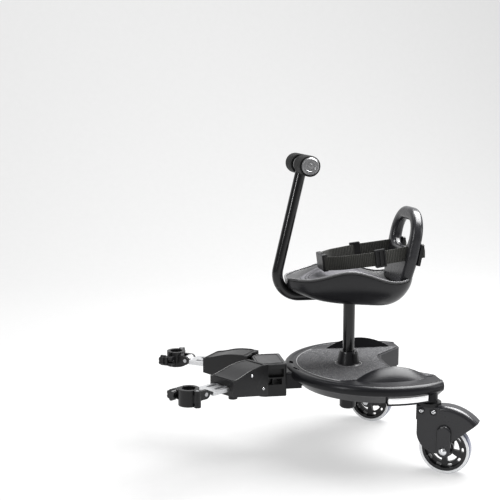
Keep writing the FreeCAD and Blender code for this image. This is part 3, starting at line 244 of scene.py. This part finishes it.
# A black ring lies round each rivet head, on both cheeks of both hoods: painted shade standing in for the shaded
# recess round the head. The rivets stand to the front and rear of the caster's pivot, which the wheel trails.
caster_trail = 0.034
rivet_height = 0.125
rivet_reach = 0.012
cheek_face = 0.0185
ring_profile = [(0.0055, -0.0004), (0.0074, -0.0004), (0.0074, 0.0004), (0.007, 0.0009), (0.006, 0.0009),
                (0.0055, 0.0005), (0.0055, -0.0004)]
for side, (x, y, yaw) in axle_places.items():
    turn = math.radians(yaw)
    across = Vector((math.cos(turn), -math.sin(turn), 0))
    along = Vector((math.sin(turn), math.cos(turn), 0))
    pivot = Vector((x, y, rivet_height)) - along * caster_trail
    for cheek in (-1, 1):
        for reach in (-rivet_reach, rivet_reach):
            # The ring's black is painted shade for the recess round the rivet head.
            band = lathe(ring_profile, pivot + across * cheek * cheek_face + along * reach, across * cheek)
            ring = put_mesh("rivet_ring_%s_%d_%d" % (side, cheek, 1000 * reach), band, hub_black)
            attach(ring, "caster_" + side)

# Deck. One large charcoal moulding, hollow and ribbed below, with a rounded rim, two raised
# side humps and bores for the caster bushes.
deck_charcoal = moulded("deck_charcoal", *charcoal_tints, 0.34, coat=0.2, specular=0.28)
deck_charcoal.wear("deck_shell")

# Standing mat. Grey rubber with lighter granules rolled into it, bonded in the deck's recess.
# Its cut edge has a painted pale highlight line along the front of its round outline and round the collar.
deck_middle_y = 0.1397
post_y = 0.084
speckled_mat = Finish("speckled_mat")
grains = speckled_mat.cells("F1", 620.0)
chips = speckled_mat.noise(900.0, 2.0)
rubber = speckled_mat.tint(speckled_mat.ramp(chips, 0.5, 0.68), (0.05, 0.05, 0.052), (0.27, 0.27, 0.28))
# outline and hole mask a thin painted highlight line at the mat's cut edges; edge joins them.
outline = speckled_mat.ramp(speckled_mat.distance((0, deck_middle_y, 0), (1, 1, 0)), 0.1618, 0.1628)
hole = speckled_mat.ramp(speckled_mat.distance((0, post_y, 0), (1, 1, 0)), 0.0287, 0.0282)
edge = speckled_mat.function("MAXIMUM", outline, hole)
speckled_mat.feed("Base Color", speckled_mat.tint(edge, rubber, (0.42, 0.42, 0.42)))
speckled_mat.feed("Roughness", 0.7 + grains * 0.3)
speckled_mat.dent(chips + grains * 0.4, 0.0006, 0.5)
speckled_mat.wear("deck_mat")

# Side reflectors. White retroreflective strip with a fine honeycomb of cells under its face. Each
# is a wedge on the leaning skirt, so that its face stands upright below the rim, in a charcoal
# tray that shows as a lip below it. Sections are (radius, height) about the deck's middle.
white = (1.0, 1.0, 1.0, 1.0)
# The strip's emission is a painted glow that makes it read bright white; it is no lamp.
reflector_white_glow = Finish("reflector_white_glow", Roughness=0.2, Coat_Weight=0.8, Coat_Roughness=0.05,
                         Emission_Strength=0.4, Emission_Color=white)
walls = reflector_white_glow.ramp(reflector_white_glow.cells("DISTANCE_TO_EDGE", 260.0), 0.02, 0.09)
reflector_white_glow.feed("Base Color", reflector_white_glow.tint(walls, (0.72, 0.73, 0.75), (0.95, 0.95, 0.95)))
reflector_white_glow.dent(walls, 0.0002, 0.3)
tray = [(0.1575, 0.1454), (0.1768, 0.1454), (0.1768, 0.1484), (0.1612, 0.1484)]
wedge = [(0.1614, 0.1485), (0.176, 0.1485), (0.1764, 0.1489), (0.1764, 0.1597), (0.176, 0.16)]
for side, sign in (("left", 1), ("right", -1)):
    for name, section, ends, finish, slot in (("tray", tray, (-8.5, 21.0), charcoal, "charcoal_shell"),
                                              ("strip", wedge, (-7.5, 20.0), reflector_white_glow, "reflector")):
        section = np.array(section)
        sweep = np.radians(np.linspace(*ends, 45))[:, None]
        band = np.stack([sign * np.cos(sweep) * section[:, 0], deck_middle_y + np.sin(sweep) * section[:, 0],
                         0 * sweep + section[:, 1]], -1)
        band = np.concatenate([0 * band[:1] + band[0].mean(0), band, 0 * band[:1] + band[-1].mean(0)])
        piece = put_mesh("reflector_%s_%s" % (name, side), band, finish)
        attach(piece, "deck")
    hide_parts("reflector_" + side)

# Post socket and collar. A black socket hangs below the deck, and a charcoal collar above it
# holds a press latch. Screws pull the two together.
black_moulding.wear("post_socket", "post_latch")
charcoal.wear("post_collar")
plated_steel = Finish("plated_steel", Metallic=1.0)
bloom = plated_steel.noise(130.0, 4.0)
plated_steel.feed("Base Color", plated_steel.tint(bloom, (0.4, 0.41, 0.42), (0.62, 0.62, 0.63)))
plated_steel.feed("Roughness", 0.28 + bloom * 0.22)
plated_steel.wear("socket_screws", "connector_bolts", "arm_pivot_pins", "seat_bolts")

# Connector box. A black moulding whose tail is bolted into the deck's front, under a satin
# grey cover plate with a raised border. The arms' pivot pins stand inside it.
black_moulding.wear("connector_box")
grey_satin = moulded("grey_satin", (0.055, 0.055, 0.057), (0.08, 0.08, 0.082), 0.4, 800.0)
grey_satin.wear("connector_cover")


def unit_rows(vectors):
    return vectors / np.linalg.norm(vectors, axis=1)[:, None]


def round_bead(line, radius, sides):
    """Rings of points that carry a round section along a closed line."""
    run = np.roll(line, -1, axis=0) - np.roll(line, 1, axis=0)
    beside = unit_rows(np.cross(run, (0.0, 0.0, 1.0)))
    over = unit_rows(np.cross(beside, run))
    turn = full_turn(sides)[None, :, None]
    return line[:, None] + radius * (np.cos(turn) * beside[:, None] + np.sin(turn) * over[:, None])


def raised_border(cad_name, corners, radius=0.0014):
    """Bead round a closed plan with eased corners, half sunk in the top of a CAD node."""
    cad = nodes[cad_name].data
    tree = BVHTree.FromPolygons([v.co for v in cad.vertices], [list(p.vertices) for p in cad.polygons])
    corners = np.array(corners)
    plan = np.concatenate([np.linspace(start, stop, 40, endpoint=False)
                           for start, stop in zip(np.roll(corners, 1, axis=0), corners)])
    plan = np.mean([np.roll(plan, k, axis=0) for k in range(-4, 5)], axis=0)
    above, down = 1.0, Vector((0, 0, -1))
    line = np.array([tree.ray_cast(Vector((x, y, above)), down)[0] for x, y in plan])
    return round_bead(line, radius, 16)


cover_half = [(0.035, -0.062), (0.035, -0.105), (0.024, -0.112)]
cover_plan = cover_half + [(-x, y) for x, y in reversed(cover_half)]
border = put_mesh("cover_border", raised_border("connector_cover", cover_plan), grey_satin, wrap_rows=True)
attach(border, "deck")

# Arms. Black glass-filled housings with pale aluminium slide bars, and below each a spring
# plunger with a pull knob.
black_moulding.wear("arm_housing_left", "arm_housing_right", "bar_plunger_left", "bar_plunger_right")
pale_bar = Finish("pale_bar", Metallic=1.0)
draw = pale_bar.noise(300.0, 3.0, pale_bar.place(stretch=(1, 0.08, 1)))
pale_bar.feed("Base Color", pale_bar.tint(draw, (0.6, 0.61, 0.62), (0.82, 0.82, 0.83)))
pale_bar.feed("Roughness", 0.26 + draw * 0.2)
pale_bar.wear("arm_bar_left", "arm_bar_right")

# A raised border runs round each arm's swept top, and two dome screws close its outer wall. Places
# on an arm are told by how far out from its middle line and how far from its pin they are.
pin_x = 0.022
pin_y = post_y - 0.180
splay = math.radians(35.0)


def on_arm(sign, out, reach):
    """Plan place of a point on the arm of one side."""
    return (sign * (pin_x + reach * math.sin(splay) + out * math.cos(splay)),
            pin_y - reach * math.cos(splay) + out * math.sin(splay))


arm_top = [(0.0265, 0.030), (0.0308, 0.119), (-0.0308, 0.119), (-0.0265, 0.030)]
dome = [(0, -0.0004), (0.0032, -0.0004), (0.0032, 0.0004), (0.0029, 0.0012), (0.0021, 0.0018), (0.0013, 0.002),
        (0.0012, 0.0009), (0, 0.0008)]
for side, sign in (("left", 1), ("right", -1)):
    band = raised_border("arm_housing_" + side, [on_arm(sign, out, reach) for out, reach in arm_top])
    border = put_mesh("arm_border_" + side, band, black_moulding, wrap_rows=True)
    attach(border, "arm_" + side)
    for reach, out, height in ((0.069, 0.0304, 0.1915), (0.035, 0.0287, 0.158)):
        outward = (sign * math.cos(splay), math.sin(splay), 0)
        head = lathe(dome, (*on_arm(sign, out, reach), height), outward)
        screw = put_mesh("arm_screw_%s_%d" % (side, 1000 * reach), head, bright_steel)
        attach(screw, "arm_" + side)

# Clamps. Saddle, hinged jaw and lobed knob in black nylon, turning on steel pins at the end of
# each slide bar.
black_moulding.wear("clamp_saddle_left", "clamp_saddle_right", "clamp_jaw_left", "clamp_jaw_right",
                    "clamp_knob_left", "clamp_knob_right")
plated_steel.wear("clamp_pins_left", "clamp_pins_right")

# Seat post and handle. Steel tube with a gloss black powder coat, which has a slight orange
# peel. The handle is bent from one length and ends in a cross bar.
powder_coat = Finish("powder_coat", Coat_Weight=0.6, Coat_Roughness=0.08)
haze = powder_coat.noise(30.0, 4.0)
powder_coat.feed("Base Color", powder_coat.tint(haze, (0.003, 0.003, 0.0035), (0.008, 0.008, 0.009)))
powder_coat.feed("Roughness", 0.14 + haze * 0.1)
powder_coat.dent(powder_coat.noise(330.0, 1.0), 0.0003, 0.06)
powder_coat.wear("seat_post", "handle_tube")

# Seat. A charcoal bucket over a bracket that grips the post, closed by a light grey panel
# dished between its rims, with a soft pad set into it.
charcoal.wear("seat_shell")
black_moulding.wear("seat_bracket")
panel_grey = moulded("panel_grey", (0.045, 0.045, 0.047), (0.068, 0.068, 0.07), 0.32, 800.0)
panel_grey.wear("seat_top")

# Seat pad. Lilac-grey foam with a moulded skin, crowned, with a double groove round its edge. It
# lies on the dished panel, told by stations: y from the post, share of the half width, rim height.
seat_floor = 0.312
seat_half = 0.078
dish_share = 0.2
stations = np.array([(-0.134, 0.22, 0.059), (-0.112, 0.62, 0.061), (-0.075, 0.86, 0.067), (-0.020, 0.99, 0.079),
                     (0.035, 1.0, 0.066), (0.080, 0.93, 0.055), (0.105, 0.8, 0.058), (0.121, 0.52, 0.062)])
nose_y, tail_y = stations[[0, -1], 0]


def along_seat(y, column):
    """Natural cubic spline of one column of the stations at the given lengths."""
    s, v = stations[:, 0], stations[:, column]
    h = np.diff(s)
    size = len(s)
    system = np.eye(size)
    right = np.zeros(size)
    inner = np.arange(1, size - 1)
    system[inner, inner - 1] = h[:-1]
    system[inner, inner] = 2 * (h[:-1] + h[1:])
    system[inner, inner + 1] = h[1:]
    right[inner] = 6 * (np.diff(v)[1:] / h[1:] - np.diff(v)[:-1] / h[:-1])
    bend = np.linalg.solve(system, right)
    i = np.clip(np.searchsorted(s, y) - 1, 0, size - 2)
    left, rest = y - s[i], s[i + 1] - y
    return ((bend[i] * rest ** 3 + bend[i + 1] * left ** 3) / (6 * h[i])
            + (v[i] / h[i] - bend[i] * h[i] / 6) * rest + (v[i + 1] / h[i] - bend[i + 1] * h[i] / 6) * left)


def half_width(y):
    return along_seat(y, 1) * seat_half


def panel_height(x, y):
    """Height of the dished panel: a circle through both rims and the dip between them."""
    half = half_width(y)
    dip = dish_share * half
    radius = (half ** 2 + dip ** 2) / (2 * dip)
    return seat_floor + along_seat(y, 2) - dip + radius - np.sqrt(np.maximum(radius ** 2 - x ** 2, 1e-9))


def signed_power(value, power):
    return np.sign(value) * np.abs(value) ** power


pad_middle = -0.0075
pad_half_length = 0.0955
pad_margin = 0.0155
pad_squareness = 0.72
pad_clearance = 0.0005
edge_lift = 0.0034
crown_rise = 0.0026
groove_depth = 0.0014
groove_width = 0.012
outer_groove, inner_groove = 0.9, 0.83


def pad_surface(turns=160, rings=70):
    """Closed pad on polar rings: out over the crown and its grooves, round the edge, back below."""
    angle = full_turn(turns)[None, :]
    edge_reach = [0.985, 0.995, 1.0, 1.0, 0.99, 0.96, 0.5, 0.0]
    edge_share = [0.93, 0.8, 0.55, 0.2, 0.03, 0.0, 0.0, 0.0]
    reach = np.concatenate([np.linspace(0.0, 0.97, rings), edge_reach])[:, None]
    lift = np.concatenate([np.ones(rings), edge_share])[:, None]
    end = pad_middle + pad_half_length * signed_power(np.sin(angle), pad_squareness)
    side = (half_width(end) - pad_margin) * signed_power(np.cos(angle), pad_squareness)
    x = side * reach
    y = pad_middle + (end - pad_middle) * reach
    crown = edge_lift + crown_rise * (1 - reach ** 2)
    groove = groove_depth * sum(np.exp(-((reach - at) / groove_width) ** 2) for at in (inner_groove, outer_groove))
    z = panel_height(x, y) + pad_clearance + lift * (crown - groove)
    uv = np.stack([angle + 0 * x, reach + 0 * x], -1)
    return np.stack([x, y + post_y, z], -1), uv


pad_foam = Finish("pad_foam", Sheen_Weight=0.08)
soft = pad_foam.noise(45.0, 5.0)
outward = pad_foam.axis_of(pad_foam.node("ShaderNodeUVMap", {"uv_map": "UVMap"}), "Y")
# Near black along the two groove lines is painted shade in the double groove.
from_grooves = pad_foam.function("ABSOLUTE", (outward - inner_groove) * (outward - outer_groove))
foam = pad_foam.tint(soft, (0.1, 0.098, 0.108), (0.15, 0.148, 0.16))
pad_foam.feed("Base Color", pad_foam.tint(pad_foam.ramp(from_grooves, 0.0003, 0.0009), (0.01, 0.01, 0.012), foam))
pad_foam.feed("Roughness", 0.58 + soft * 0.2)
pad_foam.dent(pad_foam.noise(700.0, 2.0), 0.0005, 0.3)
pad_points, pad_uv = pad_surface()
pad = put_mesh("seat_pad_soft", pad_points, pad_foam, pad_uv)
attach(pad, "seat")
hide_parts("seat_pad")

# A moulded bead runs round the seat's rim, where the shell meets the panel. Its corners at nose
# and tail are eased by averaging neighbours.
bead_r = 0.0017
bead_lift = 0.0004
long_y = np.linspace(tail_y, nose_y, 90)
side_x = half_width(long_y)
nose_x = np.linspace(side_x[-1], -side_x[-1], 14)[1:-1]
tail_x = np.linspace(-side_x[0], side_x[0], 26)[1:-1]
rim_x = np.concatenate([side_x, nose_x, -side_x[::-1], tail_x])
rim_y = np.concatenate([long_y, 0 * nose_x + nose_y, long_y[::-1], 0 * tail_x + tail_y])
rim = np.stack([rim_x, rim_y + post_y, panel_height(rim_x, rim_y) + bead_lift], -1)
for _ in range(3):
    rim = (np.roll(rim, 1, 0) + rim + np.roll(rim, -1, 0)) / 3
# The bead's light grey is a painted highlight along the seat's rim.
rim_highlight_grey = moulded("rim_highlight_grey", (0.17, 0.17, 0.175), (0.23, 0.23, 0.235), 0.26, 800.0)
bead = put_mesh("seat_bead", round_bead(rim, bead_r, 14), rim_highlight_grey, wrap_rows=True)
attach(bead, "seat")

# Backrest. A leaning charcoal loop, moulded with well rounded edges and a hand hole, glossier
# than the seat below it.
gloss_charcoal = moulded("gloss_charcoal", (0.024, 0.024, 0.027), (0.036, 0.036, 0.04), 0.28, coat=0.35,
                         relief=0.02)
gloss_charcoal.wear("backrest")

# Grips. Black rubber sleeves with two ring grooves, closed by satin silver caps that are turned in
# rings and have a button in the middle.
grip_rubber = Finish("grip_rubber", Specular_IOR_Level=0.3)
skin = grip_rubber.noise(120.0, 4.0)
grip_rubber.feed("Base Color", grip_rubber.tint(skin, (0.004, 0.004, 0.004), (0.01, 0.01, 0.01)))
grip_rubber.feed("Roughness", 0.48 + skin * 0.22)
grip_rubber.dent(grip_rubber.noise(1100.0, 2.0), 0.0005, 0.35)
grip_rubber.wear("grip_left", "grip_right")
grip_y = -0.018
grip_height = 0.601
cap_face = 0.0749
ring_pitch = 0.0024
cap_silver = Finish("cap_silver", Metallic=0.7)
satin = cap_silver.noise(500.0, 2.0)
from_axis = cap_silver.distance((0, grip_y, grip_height), (0, 1, 1))
turned = cap_silver.function("SINE", from_axis * (2 * math.pi / ring_pitch))
shade = satin * 0.4 + turned * 0.3 + 0.3
cap_silver.feed("Base Color", cap_silver.tint(shade, (0.17, 0.17, 0.175), (0.5, 0.5, 0.505)))
cap_silver.feed("Roughness", 0.3 + satin * 0.16)
cap_silver.wear("grip_caps")
button = [(0, -0.0004), (0.0052, -0.0004), (0.0052, 0.0001), (0.0044, 0.0006), (0.0026, 0.001), (0, 0.0012)]
for side, sign in (("left", 1), ("right", -1)):
    rings = lathe(button, (sign * cap_face, grip_y, grip_height), (sign, 0, 0))
    made = put_mesh("cap_button_" + side, rings, cap_silver)
    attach(made, "seat")

# Belt. Two straps of ribbed polyester webbing in olive black, threaded through black slides
# and closed in front by a side-release buckle. The route is (x, y from the post, turn's radius).
belt_height = 0.4095
belt_tilt = math.radians(7.4)
strap_route = [(0.057, 0.142, 0), (0.057, 0.100, 0.06), (0.063, 0.034, 0.06), (0.050, -0.030, 0.04),
               (0.030, -0.059, 0.014), (0.015, -0.059, 0)]


def lengths_along(line):
    return np.concatenate([[0], np.cumsum(np.linalg.norm(np.diff(line, axis=0), axis=1))])


def strap_line(route, step=0.002):
    """Points along the strap's plan: straight runs, with an arc of its own radius at each turn."""
    corner = [Vector((x, y)) for x, y, radius in route]
    line = [corner[0]]
    for i in range(1, len(route) - 1):
        radius = route[i][2]
        back = (corner[i - 1] - corner[i]).normalized()
        ahead = (corner[i + 1] - corner[i]).normalized()
        half = back.angle(ahead) / 2
        hub = corner[i] + (back + ahead).normalized() * (radius / math.sin(half))
        enter = corner[i] + back * (radius / math.tan(half)) - hub
        sweep = enter.angle_signed(corner[i] + ahead * (radius / math.tan(half)) - hub)
        for share in np.linspace(0, 1, 9):
            turn = -sweep * share
            line.append(hub + Vector((enter.x * math.cos(turn) - enter.y * math.sin(turn),
                                      enter.x * math.sin(turn) + enter.y * math.cos(turn))))
    line = np.array(line + [corner[-1]])
    place = lengths_along(line)
    even = np.linspace(0, place[-1], int(place[-1] / step))
    return np.stack([np.interp(even, place, line[:, k]) for k in (0, 1)], -1)


def strap_surface(route, width=0.028, thickness=0.002):
    """Flat rounded section carried along a plan route on edge, with its ends drawn shut."""
    path = strap_line(route)
    run = unit_rows(np.gradient(path, axis=0))
    out = np.stack([run[:, 1], -run[:, 0]], 1)
    angle = full_turn(28)
    up = width / 2 * signed_power(np.sin(angle), 0.3)
    off = thickness / 2 * signed_power(np.cos(angle), 0.5)
    shrink = np.ones(len(path))
    shrink[[0, -1]] = 0.0
    flat = path[:, None, :] + out[:, None, :] * off[None, :, None] * shrink[:, None, None]
    height = up[None, :] * shrink[:, None]
    y = flat[..., 1] * math.cos(belt_tilt) - height * math.sin(belt_tilt)
    z = flat[..., 1] * math.sin(belt_tilt) + height * math.cos(belt_tilt)
    uv = np.stack([lengths_along(path)[:, None] + 0 * height, height], -1)
    return np.stack([flat[..., 0], y + post_y, z + belt_height], -1), uv


rib_pitch = 0.0036
pick_pitch = 0.0018
slant_pitch = 0.0072
webbing = Finish("webbing", Sheen_Weight=0.3, Sheen_Roughness=0.5)
weave = webbing.node("ShaderNodeUVMap", {"uv_map": "UVMap"})
lengthwise = webbing.axis_of(weave, "X")
crosswise = webbing.axis_of(weave, "Y")
rib = webbing.function("SINE", lengthwise * (2 * math.pi / rib_pitch))
pick = webbing.function("SINE", crosswise * (2 * math.pi / pick_pitch) + lengthwise * (2 * math.pi / slant_pitch))
thread = 0.36 + rib * 0.32 + pick * 0.16 + webbing.noise(700.0, 2.0) * 0.3
webbing.feed("Base Color", webbing.tint(thread, (0.005, 0.005, 0.0045), (0.075, 0.075, 0.066)))
webbing.feed("Roughness", 0.6 + thread * 0.2)
webbing.dent(thread, 0.0009, 0.8)
for side, sign in (("left", 1), ("right", -1)):
    points, uv = strap_surface(strap_route)
    points[..., 0] *= sign
    strap = put_mesh("strap_" + side, points, webbing, uv)
    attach(strap, "seat")
    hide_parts("belt_" + side)
black_moulding.wear("belt_slides", "buckle_female", "buckle_male")

# Stage. A roll of white paper that sweeps up behind the board, one wide soft box overhead, a
# strip beside the camera and a low one behind, and the camera.
sweep_x = -1.8
sweep_r = 1.6
bend = np.linspace(0, np.pi / 2, 16)
sweep = np.stack([sweep_x - sweep_r * np.sin(bend), sweep_r - sweep_r * np.cos(bend)], -1)
roll = np.concatenate([[(5.0, 0.0), (2.0, 0.0), (0.0, 0.0)], sweep, [(sweep_x - sweep_r, 6.0)]])
width = np.linspace(-7.0, 7.0, 5)
paper_points = np.stack(np.broadcast_arrays(roll[:, None, 0], width[None, :], roll[:, None, 1]), -1)
paper = Finish("paper", Roughness=0.95, Emission_Strength=0.6, Emission_Color=white)
paper.feed("Base Color", paper.tint(paper.noise(40.0, 6.0), (0.17, 0.17, 0.17), (0.19, 0.19, 0.19)))
floor = put_mesh("floor", paper_points, paper, wrap_columns=False)

world = bpy.data.worlds.new("studio")
world.use_nodes = True
world.node_tree.nodes["Background"].inputs["Color"].default_value = white
world.node_tree.nodes["Background"].inputs["Strength"].default_value = 0.3
bpy.context.scene.world = world
bpy.context.scene.view_settings.view_transform = "Standard"
bpy.context.scene.view_settings.gamma = 0.82


def aim(thing, place, target):
    """Stand a light or a camera at a place, turned to a target."""
    made = bpy.data.objects.new(thing.name, thing)
    made.location = place
    made.rotation_euler = (Vector(target) - Vector(place)).to_track_quat("-Z", "Y").to_euler()
    bpy.context.scene.collection.objects.link(made)
    return made


def soft_box(name, place, target, size, power):
    """Oblong area light at a place, turned to a target."""
    light = bpy.data.lights.new(name, "AREA")
    light.shape = "RECTANGLE"
    light.size, light.size_y = size
    light.energy = power
    aim(light, place, target)


soft_box("overhead", (-0.15, 1.0, 2.2), (-0.05, 0.2, 0.2), (2.0, 1.8), 150)
soft_box("backdrop", (-1.2, 0, 3.4), (-3.2, 0, 1.0), (4.0, 1.0), 60)
soft_box("strip", (1.6, -2.2, 1.5), (0, 0, 0.35), (0.4, 1.6), 26)
soft_box("low_rear", (0.9, 2.2, 0.9), (0, 0.1, 0.25), (0.6, 0.9), 8)

lens = bpy.data.cameras.new("camera")
lens.sensor_width = 36.0
lens.lens = 66.33
bpy.context.scene.camera = aim(lens, (1.8182, -0.4232, 0.7045), (-0.0334, -0.1194, 0.4242))
